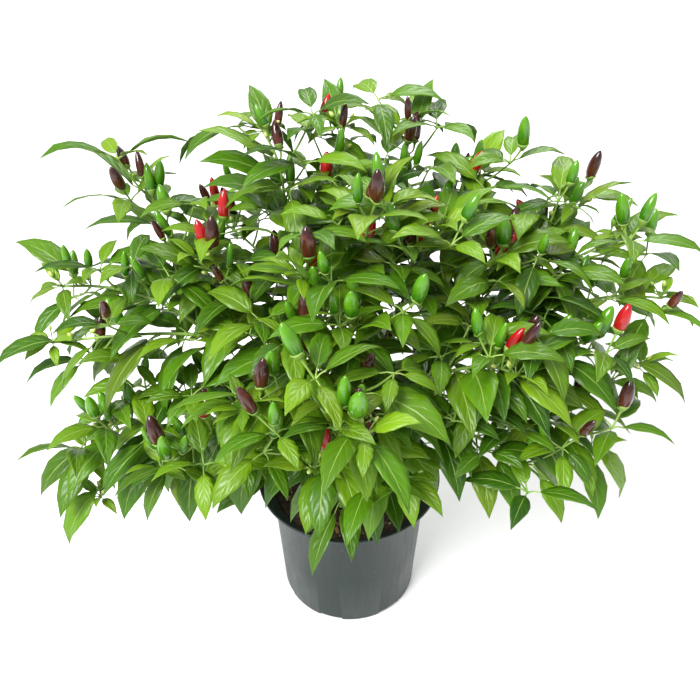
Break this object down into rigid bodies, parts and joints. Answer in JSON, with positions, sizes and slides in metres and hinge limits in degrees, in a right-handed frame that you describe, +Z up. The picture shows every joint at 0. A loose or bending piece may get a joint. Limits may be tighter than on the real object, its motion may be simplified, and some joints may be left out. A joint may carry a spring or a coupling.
{
  "type": "potted chilli pepper plant",
  "caption": "Bushy chilli pepper plant with small upright fruits and pointed leaves, standing in a round tapered nursery pot with a flared rim.",
  "frame": {"origin": "middle of the pot's foot, on the surface that the pot stands on", "axes": "+Z up along the pot's axis; +X along the plant's widest spread, from its left to its right; the plant's front faces -Y"},
  "size_m": [0.604, 0.428, 0.4946],
  "materials": {
    "pot_plastic": "satin, faintly scuffed",
    "potting_mix": "rough, crumbly",
    "bark": "matt, green turning woody",
    "foliage": "satin leaf",
    "dark_fruit": "glossy fruit skin",
    "red_fruit": "glossy fruit skin"
  },
  "bodies": {
    "root": {"dark_chilli_01": "dark_fruit", "dark_chilli_02": "dark_fruit", "dark_chilli_03": "dark_fruit", "dark_chilli_04": "dark_fruit", "dark_chilli_05": "dark_fruit", "dark_chilli_06": "dark_fruit", "dark_chilli_07": "dark_fruit", "dark_chilli_08": "dark_fruit", "dark_chilli_09": "dark_fruit", "dark_chilli_10": "dark_fruit", "dark_chilli_11": "dark_fruit", "main_stem": "bark", "pot": "pot_plastic", "potting_mix": "potting_mix", "red_chilli_01": "red_fruit", "red_chilli_02": "red_fruit", "red_chilli_03": "red_fruit", "red_chilli_04": "red_fruit", "red_chilli_05": "red_fruit", "red_chilli_06": "red_fruit", "red_chilli_07": "red_fruit", "shoot_01": "foliage", "shoot_02": "foliage", "shoot_03": "foliage", "shoot_04": "foliage", "shoot_05": "foliage", "shoot_06": "foliage", "shoot_07": "foliage", "shoot_08": "foliage", "shoot_09": "foliage", "shoot_10": "foliage", "shoot_11": "foliage", "shoot_12": "foliage", "shoot_13": "foliage", "shoot_14": "foliage", "shoot_15": "foliage", "shoot_16": "foliage", "shoot_17": "foliage", "shoot_18": "foliage", "shoot_19": "foliage", "shoot_20": "foliage", "shoot_21": "foliage", "shoot_22": "foliage", "shoot_23": "foliage", "shoot_24": "foliage", "shoot_25": "foliage", "shoot_26": "foliage", "shoot_27": "foliage", "shoot_28": "foliage", "shoot_29": "foliage", "shoot_30": "foliage", "shoot_31": "foliage", "shoot_32": "foliage", "shoot_33": "foliage", "shoot_34": "foliage", "shoot_35": "foliage", "shoot_36": "foliage", "shoot_37": "foliage", "shoot_38": "foliage", "shoot_39": "foliage"}
  },
  "joints": []
}
